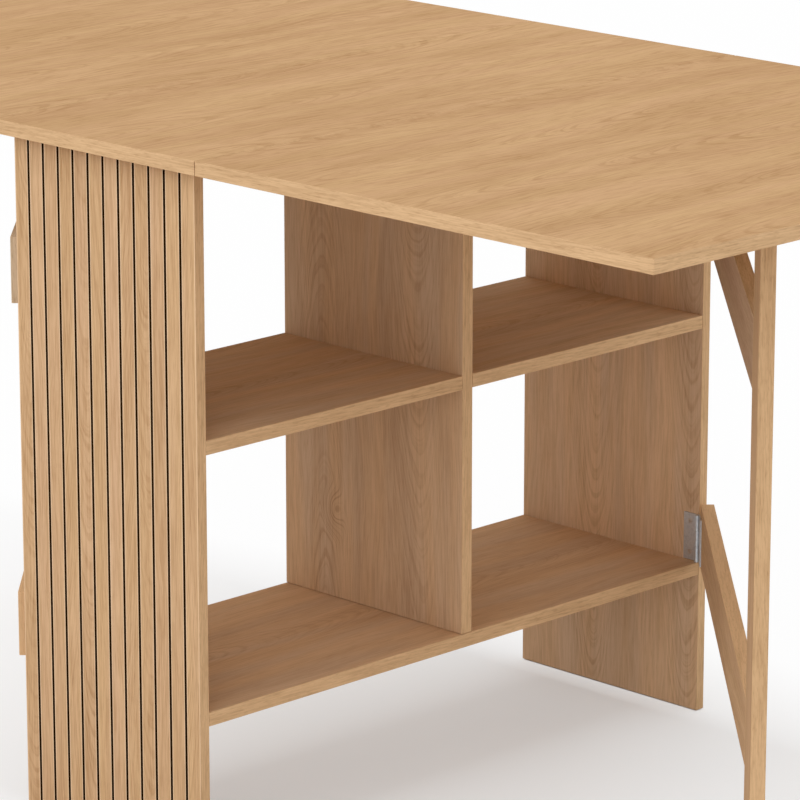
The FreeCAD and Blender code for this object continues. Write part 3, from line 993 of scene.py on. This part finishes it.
@dataclass
class Board:
    """One board, drawn with rounded arrises in the place of its solid.

    Attributes:
        node: the node that the board stands for.
        body: the body that it moves with.
        grain: the way that its grain runs.
        face: the way that its face looks.
        figure: the figure of its wood.
        band: the material of its edges.
        tones: the colours of its wood.
        pockets: the pockets in its faces.
        joint_gap: how far its two ends stand off the boards that they meet.
        arris: the radius of its rounded arrises.
        arris_steps: the number of flats that each arris is drawn with.
    """

    node: str
    body: str
    grain: Vector
    face: Vector
    figure: OakFigure
    band: bpy.types.Material
    tones: OakTones = OUTER_TONES
    pockets: tuple[Pocket, ...] = ()
    joint_gap: float = 0.0
    arris: float = 0.0006
    arris_steps: int = 3

    def __post_init__(self) -> None:
        """Measure how the board lies."""
        self.lie = Lie.of_node(self.node, self.grain, self.face)

    def draw(self, mesh: bmesh.types.BMesh) -> None:
        """Draw a block with rounded arrises, its flat faces apart from its banded edges.

        Args:
            mesh: the empty mesh that gets the block.
        """
        half = self.lie.half - Vector((self.joint_gap, 0, 0))
        bmesh.ops.create_cube(mesh, size=2.0, matrix=Matrix.Diagonal((*half, 1)))
        round_edges(mesh, mesh.edges[:], self.arris, self.arris_steps)
        for face in mesh.faces:
            flat = abs(face.normal.z) > SQUARE
            face.material_index = (BoardSlot.FACE if flat else BoardSlot.BAND).value

    def materials(self) -> list[bpy.types.Material]:
        """The materials of the board's slots."""
        half = self.lie.half
        return [OakFace(f"{self.node}_oak", self.figure, (half.x, half.y), self.tones).make(), self.band]

    def sink_pockets(self, piece: bpy.types.Object) -> None:
        """Cut the board's pockets.

        Args:
            piece: the board, which gets a new mesh.
        """
        room = bmesh.new()
        for pocket in self.pockets:
            pocket.add_to(room)
        for face in room.faces:
            face.material_index = BoardSlot.BAND.value
        cutter_mesh = bpy.data.meshes.new("pocket_room")
        room.to_mesh(cutter_mesh)
        room.free()
        cutter = put_in_scene("pocket_room", cutter_mesh)
        cut = piece.modifiers.new("pockets", "BOOLEAN")
        cut.operation = "DIFFERENCE"
        cut.solver = "EXACT"
        cut.object = cutter
        bpy.context.view_layer.update()
        evaluated = piece.evaluated_get(bpy.context.evaluated_depsgraph_get())
        plain = piece.data
        piece.data = bpy.data.meshes.new_from_object(evaluated)
        piece.modifiers.clear()
        bpy.data.meshes.remove(plain)
        bpy.data.objects.remove(cutter)

    def build(self) -> None:
        """Draw the board, dress it and put it in the place of its solid."""
        drawing = bmesh.new()
        self.draw(drawing)
        for face in drawing.faces:
            face.smooth = True
        name = f"{self.node}_in_oak"
        mesh = bpy.data.meshes.new(name)
        drawing.to_mesh(mesh)
        drawing.free()
        for material in self.materials():
            mesh.materials.append(material)
        piece = put_in_scene(name, mesh)
        piece.matrix_world = self.lie.matrix()
        if self.pockets:
            self.sink_pockets(piece)
        piece.modifiers.new("even_shading", "WEIGHTED_NORMAL")
        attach(piece, self.body)
        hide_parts(self.node)
        log.info("%s: %d faces, on %s", name, len(piece.data.polygons), self.body)


@dataclass
class SlattedPanel(Board):
    """An end panel whose outer face is parted into slats by dark grooves.

    Attributes:
        groove_count: the number of grooves.
        groove_width: the width of a groove.
        groove_depth: the depth of a groove.
        slat_arris: the radius of the slats' rounded arrises.
        slat_arris_steps: the number of flats that each of these is drawn with.
    """

    groove_count: int = 11
    groove_width: float = 0.0028
    groove_depth: float = 0.0025
    slat_arris: float = 0.0003
    slat_arris_steps: int = 2

    @property
    def slat_width(self) -> float:
        """The width of one slat."""
        return (2 * self.lie.half.y - self.groove_count * self.groove_width) / (self.groove_count + 1)

    def outline(self) -> list[Vector]:
        """The panel's section across the grain.

        Returns:
            Its corners, from the inner face round to the grooved one.
        """
        half = self.lie.half
        floor = half.z - self.groove_depth
        points = [(-half.y, -half.z), (half.y, -half.z), (half.y, half.z)]
        for number in reversed(range(self.groove_count)):
            start = (number + 1) * self.slat_width + number * self.groove_width - half.y
            end = start + self.groove_width
            points += [(end, half.z), (end, floor), (start, floor), (start, half.z)]
        points.append((-half.y, half.z))
        return [Vector((-half.x, across, out)) for across, out in points]

    def slot_of(self, face: bmesh.types.BMFace) -> BoardSlot:
        """The material slot of a face. The grooves' paint goes on over the slats' arrises.

        Args:
            face: a face of the panel.

        Returns:
            Its slot.
        """
        half = self.lie.half
        middle = face.calc_center_median()
        if abs(face.normal.x) > SQUARE or middle.z < 0 and face.normal.z > -SQUARE:
            return BoardSlot.BAND
        if face.normal.z < -SQUARE:
            return BoardSlot.FACE
        between_slats = abs(middle.y) < half.y - self.slat_width / 2
        below_slats = middle.z < half.z - self.slat_arris or face.normal.z < SQUARE
        if between_slats and below_slats:
            return BoardSlot.GROOVE
        if abs(middle.y) > half.y - self.slat_arris:
            return BoardSlot.BAND
        return BoardSlot.SLAT

    def draw(self, mesh: bmesh.types.BMesh) -> None:
        """Draw the section, draw it out along the grain and round its outer arrises.

        Args:
            mesh: the empty mesh that gets the panel.
        """
        half = self.lie.half
        section = mesh.faces.new([mesh.verts.new(point) for point in self.outline()])
        grown = bmesh.ops.extrude_face_region(mesh, geom=[section])["geom"]
        moved = [item for item in grown if isinstance(item, bmesh.types.BMVert)]
        bmesh.ops.translate(mesh, verts=moved, vec=Vector((2 * half.x, 0, 0)))
        bmesh.ops.recalc_face_normals(mesh, faces=mesh.faces[:])
        floor = half.z - self.groove_depth
        arrises = []
        for edge in mesh.edges:
            first, second = (vertex.co for vertex in edge.verts)
            along = abs(first.x - second.x) > half.x
            if along and abs(first.z - floor) > self.slat_arris:
                arrises.append(edge)
        round_edges(mesh, arrises, self.slat_arris, self.slat_arris_steps)
        for face in mesh.faces:
            face.material_index = self.slot_of(face).value

    def materials(self) -> list[bpy.types.Material]:
        """The materials of the panel's slots.

        Returns:
            One material for each slot.
        """
        pitch = self.slat_width + self.groove_width
        slats = SlattedOak(f"{self.node}_slats", self.figure, self.lie.half.y, self.slat_width, pitch)
        return super().materials() + [slats.make(), GroovePaint(f"{self.node}_groove_paint").make()]


@dataclass
class TableTop:
    """The fixed strip of the top and its two leaves.

    Attributes:
        arris: the radius of the arrises, which keeps the seams tight.
        band_seed: the seed of the edge band.
    """

    arris: float = 0.0004
    band_seed: int = 1

    def figure(self, seed: int, slope: float) -> OakFigure:
        """The figure of one board, with broader streaks and stronger dashes than the cabinet has.

        Args:
            seed: the figure's seed.
            slope: the slope of its arches.

        Returns:
            The figure.
        """
        return OakFigure(
            seed,
            arch_slope=slope,
            sway=0.058,
            ring_pitch=0.0024,
            ring_strength=0.23,
            streak_width=0.055,
            streak_strength=0.25,
            fibre_strength=0.25,
            dash_strength=0.17,
        )

    def build(self) -> None:
        """Draw and dress the three boards."""
        band = EdgeBand("top_edge_band", self.band_seed).make()
        boards = {
            "centre_top": ("cabinet", self.figure(seed=3, slope=0.08)),
            "right_leaf_board": ("right_leaf", self.figure(seed=11, slope=-0.09)),
            "left_leaf_board": ("left_leaf", self.figure(seed=17, slope=0.09)),
        }
        for node, (body, figure) in boards.items():
            Board(node, body, ALONG_CABINET, UP, figure, band, arris=self.arris).build()


@dataclass
class Cabinet:
    """The open cabinet: two slatted end panels, a divider and three shelves.

    Attributes:
        cam_spacing: the distance between two cams side by side.
        cam_reach: how far a cam lies from the joint that it draws together.
        cam_radius: the radius of a cam's pocket.
        cam_depth: the depth of a cam's pocket.
        screw_spacing: the distance between the two screws into the divider.
        screw_radius: the radius of their countersinks.
        screw_depth: the depth of their countersinks.
        divider_gap: the hairline at the divider's ends.
        shelf_gap: the hairline at the shelves' ends.
        band_seed: the seed of the edge band.
    """

    cam_spacing: float = 0.190
    cam_reach: float = 0.024
    cam_radius: float = 0.00755
    cam_depth: float = 0.012
    screw_spacing: float = 0.140
    screw_radius: float = 0.00405
    screw_depth: float = 0.003
    divider_gap: float = 0.0005
    shelf_gap: float = 0.0003
    band_seed: int = 2

    def shelf_pockets(self, shelf: str, ends: tuple[int, ...]) -> list[Pocket]:
        """The cam pockets in the underside of a shelf.

        Args:
            shelf: the shelf's node.
            ends: 1 for an end towards +Y and -1 for an end towards -Y.

        Returns:
            Two pockets for each end.
        """
        low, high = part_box(shelf)
        pockets = []
        for end in ends:
            along = (high.y if end > 0 else low.y) - end * self.cam_reach
            for hand in (-1, 1):
                mouth = Vector((hand * self.cam_spacing / 2, along, low.z))
                pockets.append(Pocket(mouth, UP, self.cam_radius, self.cam_depth))
        return pockets

    def screw_pockets(self) -> list[Pocket]:
        """The countersinks of the divider's screws.

        Returns:
            Two pockets in the underside of the lower shelf.
        """
        low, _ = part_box("lower_shelf")
        mouths = [Vector((hand * self.screw_spacing / 2, 0, low.z)) for hand in (-1, 1)]
        return [Pocket(mouth, UP, self.screw_radius, self.screw_depth) for mouth in mouths]

    def divider_pockets(self) -> list[Pocket]:
        """The cam pockets of the divider.

        Returns:
            Two pockets in its front face.
        """
        low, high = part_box("divider")
        mouths = [Vector((hand * self.cam_spacing / 2, low.y, high.z - self.cam_reach)) for hand in (-1, 1)]
        return [Pocket(mouth, ALONG_CABINET, self.cam_radius, self.cam_depth) for mouth in mouths]

    def build_panels(self, band: bpy.types.Material) -> None:
        """Draw and dress the end panels.

        Args:
            band: the material of their edges.
        """
        front = OakFigure(seed=23, arch_slope=-0.09, arch_place=0.35, fibre_strength=0.40)
        rear = OakFigure(seed=29, arch_slope=-0.09, arch_place=-0.165)
        SlattedPanel("front_end_panel", "cabinet", UP, -ALONG_CABINET, front, band, INNER_TONES).build()
        SlattedPanel("rear_end_panel", "cabinet", UP, ALONG_CABINET, rear, band, REAR_TONES).build()

    def build_divider(self, band: bpy.types.Material) -> None:
        """Draw and dress the divider.

        Args:
            band: the material of its edges.
        """
        Board(
            "divider",
            "cabinet",
            grain=UP,
            face=-ALONG_CABINET,
            figure=OakFigure(seed=31, arch_place=0.52, mirrored=True, knot=(-0.182, 0.060)),
            band=band,
            tones=DIVIDER_TONES,
            pockets=tuple(self.divider_pockets()),
            joint_gap=self.divider_gap,
        ).build()

    def build_shelves(self, band: bpy.types.Material) -> None:
        """Draw and dress the shelves.

        Args:
            band: the material of their edges.
        """
        shelves = {
            "lower_shelf": (37, LOWER_SHELF_TONES, (-1, 1), self.screw_pockets()),
            "front_upper_shelf": (41, UPPER_SHELF_TONES, (-1,), []),
            "rear_upper_shelf": (43, UPPER_SHELF_TONES, (1,), []),
        }
        for shelf, (seed, tones, ends, countersinks) in shelves.items():
            Board(
                shelf,
                "cabinet",
                grain=ALONG_CABINET,
                face=UP,
                figure=OakFigure(seed, ring_strength=0.18, fibre_strength=0.20),
                band=band,
                tones=tones,
                pockets=tuple(self.shelf_pockets(shelf, ends) + countersinks),
                joint_gap=self.shelf_gap,
            ).build()

    def build(self) -> None:
        """Draw and dress the boards of the cabinet."""
        band = EdgeBand("cabinet_edge_band", self.band_seed).make()
        self.build_panels(band)
        self.build_divider(band)
        self.build_shelves(band)


@dataclass(frozen=True)
class GateOak:
    """The oak of one part of a gate.

    Attributes:
        tones: the colours of its faces, with painted shade.
        band_level: how pale its edge band is, which paints the light and shade on that part.
        band_hue: the band's red, green and blue, beside others, which paints the colour of the light on that
            part.
    """

    tones: OakTones
    band_level: float = 1.0
    band_hue: Triple = (1.0, 1.0, 1.0)


# Painted light and shade: the post's edge band is set darker, the lower rail's paler and the upper rail's
# bluer, by how the light falls on each
GATE_OAK = {
    "post": GateOak(GATE_TONES, 0.88),
    "lower_rail": GateOak(GATE_TONES, 1.22),
    "upper_rail": GateOak(UPPER_RAIL_TONES, 1.0, (0.95, 1.10, 1.34)),
}


@dataclass
class SwingGate:
    """A gate that swings out under a leaf: one post and two rails.

    Attributes:
        side: the side of the table that it stands on.
        middle_seed: the number that the seeds of both gates lie around.
        side_step: how far a gate's first seed lies from it.
        arch_place: how far the arches stand from a part's middle, as a share of a leaf of veneer.
    """

    side: Side
    middle_seed: int = 53
    side_step: int = 10
    arch_place: float = 0.4

    def build(self) -> None:
        """Draw and dress the post and the rails."""
        gate = f"{self.side.word}_gate"
        first_seed = self.middle_seed + self.side_step * self.side.value
        for seed, (part, oak) in enumerate(GATE_OAK.items(), first_seed):
            node = f"{gate}_{part}"
            grain = UP if part == "post" else self.side.gate_line
            figure = OakFigure(seed, arch_place=self.arch_place)
            band = EdgeBand(f"{node}_edge_band", seed, oak.band_level, oak.band_hue).make()
            Board(node, gate, grain, self.side.gate_face, figure, band, oak.tones).build()


@dataclass
class Fittings:
    """Hinges, screws, dowels, cam fittings and glides, which keep their solids."""

    def finishes(self) -> dict[str, bpy.types.Material]:
        """The finishes of the fittings.

        Returns:
            A material for each of their material slots.
        """
        zinc = PlatedMetal(
            "hinge_zinc",
            bright=(0.65, 0.68, 0.71, 1),
            dull=(0.56, 0.59, 0.62, 1),
            roughness=0.42,
            brush=(0.0004, 0.0004, 0.012),
        )
        steel = PlatedMetal(
            "screw_steel",
            bright=(0.70, 0.69, 0.67, 1),
            dull=(0.55, 0.54, 0.52, 1),
            roughness=0.26,
            brush=(0.0006, 0.0006, 0.0006),
        )
        cast = PlatedMetal(
            "cam_zinc",
            bright=(0.52, 0.52, 0.51, 1),
            dull=(0.36, 0.36, 0.36, 1),
            roughness=0.46,
            brush=(0.0012, 0.0012, 0.0012),
        )
        finishes = (zinc, steel, cast, TurnedBeech("dowel_beech"), MouldedPlastic("glide_plastic"))
        return {finish.name: finish.make() for finish in finishes}

    def slot_of(self, node: str) -> str:
        """The material slot of a fitting.

        Args:
            node: the fitting's name.

        Returns:
            The slot of the first word that its name holds.
        """
        words = {
            "screws": "screw_steel",
            "dowels": "dowel_beech",
            "cam": "cam_zinc",
            "glides": "glide_plastic",
            "hinge": "hinge_zinc",
        }
        return next(slot for word, slot in words.items() if word in node)

    def dress(self) -> None:
        """Give every solid that still shows its finish."""
        finishes = self.finishes()
        for node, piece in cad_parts.items():
            if piece.hide_render:
                continue
            slot = self.slot_of(node)
            piece.data.materials.clear()
            piece.data.materials.append(finishes[slot])
            log.info("%s: keeps its solid, in %s", node, slot)


@dataclass(frozen=True)
class SoftLamp:
    """A soft lamp far away.

    Attributes:
        name: the lamp's name.
        level: its light, straight on.
        way: the way to it.
        spread: the angle that it fills.
    """

    name: str
    level: float
    way: Triple
    spread: float

    def hang(self) -> None:
        """Put the lamp up."""
        lamp = bpy.data.lights.new(self.name, "SUN")
        lamp.energy = self.level * math.pi
        lamp.angle = self.spread
        holder = put_in_scene(self.name, lamp)
        holder.rotation_euler = Vector(self.way).to_track_quat("Z", "Y").to_euler()


@dataclass
class Studio:
    """A pale floor, soft light from the front and the camera.

    Attributes:
        floor_reach: how far the floor goes from the table.
        floor_colour: the floor's colour.
        floor_roughness: how rough the floor is.
        veil_span: how strong the floor's veil of painted light is at the least and at the most.
        veil_growth: how fast the veil grows.
        veil_start: how softly it starts to grow.
        veil_half: half the width and half the length of the floor where it is least.
        veil_stretch: how much faster it grows beyond that length than beside that width.
        veil_blur: how far in under an end panel the veil ends.
        backdrop_colour: what the camera sees past the floor.
        dome_level: the light from all round.
        dome_lean: how much stronger that light is from the left than from above, and weaker from the right.
        key: the soft lamp in front of the table.
        fill: a weaker soft lamp low on the right.
        eye: where the camera stands.
        heading: the camera's turn about the upright.
        tilt: how far the camera looks down.
        lens: the camera's focal length in millimetres.
    """

    floor_reach: float = 300.0
    floor_colour: Colour = (0.84, 0.84, 0.84, 1)
    floor_roughness: float = 0.9
    veil_span: Span = (0.29, 0.96)
    veil_growth: float = 0.60
    veil_start: float = 0.01
    veil_half: Span = (0.07, 0.34)
    veil_stretch: float = 6.0
    veil_blur: float = 0.001
    backdrop_colour: Colour = (1.0, 1.0, 1.0, 1)
    dome_level: float = 0.78
    dome_lean: float = 0.40
    key: SoftLamp = SoftLamp("key", 0.30, (0.07, -0.41, 0.37), math.radians(70))
    fill: SoftLamp = SoftLamp("fill", 0.16, (1.0, 0.15, 0.42), math.radians(50))
    eye: Triple = (3.3721, -3.3424, 1.655)
    heading: float = math.radians(44.957)
    tilt: float = math.radians(14.719)
    lens: float = 206.12

    def painted_floor_veil(self, shader: Shader) -> Wire:
        """How strong the floor's veil is: painted light that pales the floor's shadow away from the cabinet.

        Args:
            shader: the tree that gets the nodes.

        Returns:
            A share that is 0 under the end panels, and grows from the cabinet outwards.
        """
        low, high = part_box("rear_end_panel")
        parts = shader.parts(shader.place())
        aside = abs(parts.output("X"))
        along = abs(parts.output("Y"))
        within_depth = (high.x - aside).rise(0.0, self.veil_blur)
        off_panel = abs(along - (low.y + high.y) / 2)
        under_panel = within_depth * ((high.y - low.y) / 2 - off_panel).rise(0.0, self.veil_blur)
        beside = (aside - self.veil_half[0]).most(0.0)
        beyond = (along - self.veil_half[1]).most(0.0)
        away = beside + self.veil_stretch * beyond
        grown = self.veil_growth * ((away + self.veil_start).root() - math.sqrt(self.veil_start))
        least, most = self.veil_span
        return (least + grown).least(most) * (1 - under_panel)

    def lay_floor(self) -> None:
        """Lay the floor."""
        reach = self.floor_reach
        mesh = bpy.data.meshes.new("floor")
        corners = [(-reach, -reach, 0), (reach, -reach, 0), (reach, reach, 0), (-reach, reach, 0)]
        mesh.from_pydata(corners, [], [(0, 1, 2, 3)])
        material = bpy.data.materials.new("floor_paint")
        shader = Shader(material)
        sockets = {"Base Color": self.floor_colour, "Roughness": self.floor_roughness}
        sockets["Specular IOR Level"] = 0.0
        paint = shader.node("ShaderNodeBsdfPrincipled", {}, sockets)
        # Painted light: for the camera the floor glows white by the veil's share, so its shadow is painted
        # paler away from the cabinet
        veil_glow = shader.node("ShaderNodeEmission", {}, {"Color": self.backdrop_colour, "Strength": 1.0})
        veil_share = shader.seen() * self.painted_floor_veil(shader)
        mixed = shader.node("ShaderNodeMixShader", {}, {0: veil_share, 1: paint, 2: veil_glow})
        shader.node("ShaderNodeOutputMaterial", {}, {"Surface": mixed})
        mesh.materials.append(material)
        floor = put_in_scene("floor", mesh)

    def light(self) -> None:
        """Light the table from all round and from two soft lamps, in front of a white backdrop."""
        world = bpy.data.worlds.new("studio")
        bpy.context.scene.world = world
        shader = Shader(world)
        way = shader.node("ShaderNodeTexCoord", output="Generated")
        rightward = shader.parts(way) * 0.5 + 0.5
        halves = []
        for lean in (self.dome_lean, -self.dome_lean):
            level = {"Color": (1, 1, 1, 1), "Strength": self.dome_level * (1 + lean)}
            halves.append(shader.node("ShaderNodeBackground", {}, level))
        dome = shader.node("ShaderNodeMixShader", {}, {0: rightward, 1: halves[0], 2: halves[1]})
        backdrop = shader.node("ShaderNodeBackground", {}, {"Color": self.backdrop_colour, "Strength": 1.0})
        mixed = shader.node("ShaderNodeMixShader", {}, {0: shader.seen(), 1: dome, 2: backdrop})
        shader.node("ShaderNodeOutputWorld", {}, {"Surface": mixed})
        self.key.hang()
        self.fill.hang()

    def place_camera(self) -> None:
        """Put the camera at the viewing angle of the photograph."""
        camera = bpy.data.cameras.new("camera")
        camera.lens = self.lens
        camera.clip_end = 2 * self.floor_reach
        holder = put_in_scene("camera", camera)
        holder.location = self.eye
        holder.rotation_euler = Euler((math.pi / 2 - self.tilt, 0, self.heading))
        bpy.context.scene.camera = holder

    def build(self) -> None:
        """Set up the floor, the light, the camera and plain colours."""
        self.lay_floor()
        self.light()
        self.place_camera()
        bpy.context.scene.view_settings.view_transform = "Standard"
        log.info("studio: floor, light and camera")


def main() -> None:
    """Build the table's looks, one sub-assembly after another."""
    Studio().build()
    TableTop().build()
    Cabinet().build()
    for side in Side:
        SwingGate(side).build()
    Fittings().dress()


if __name__ == "__main__":
    main()
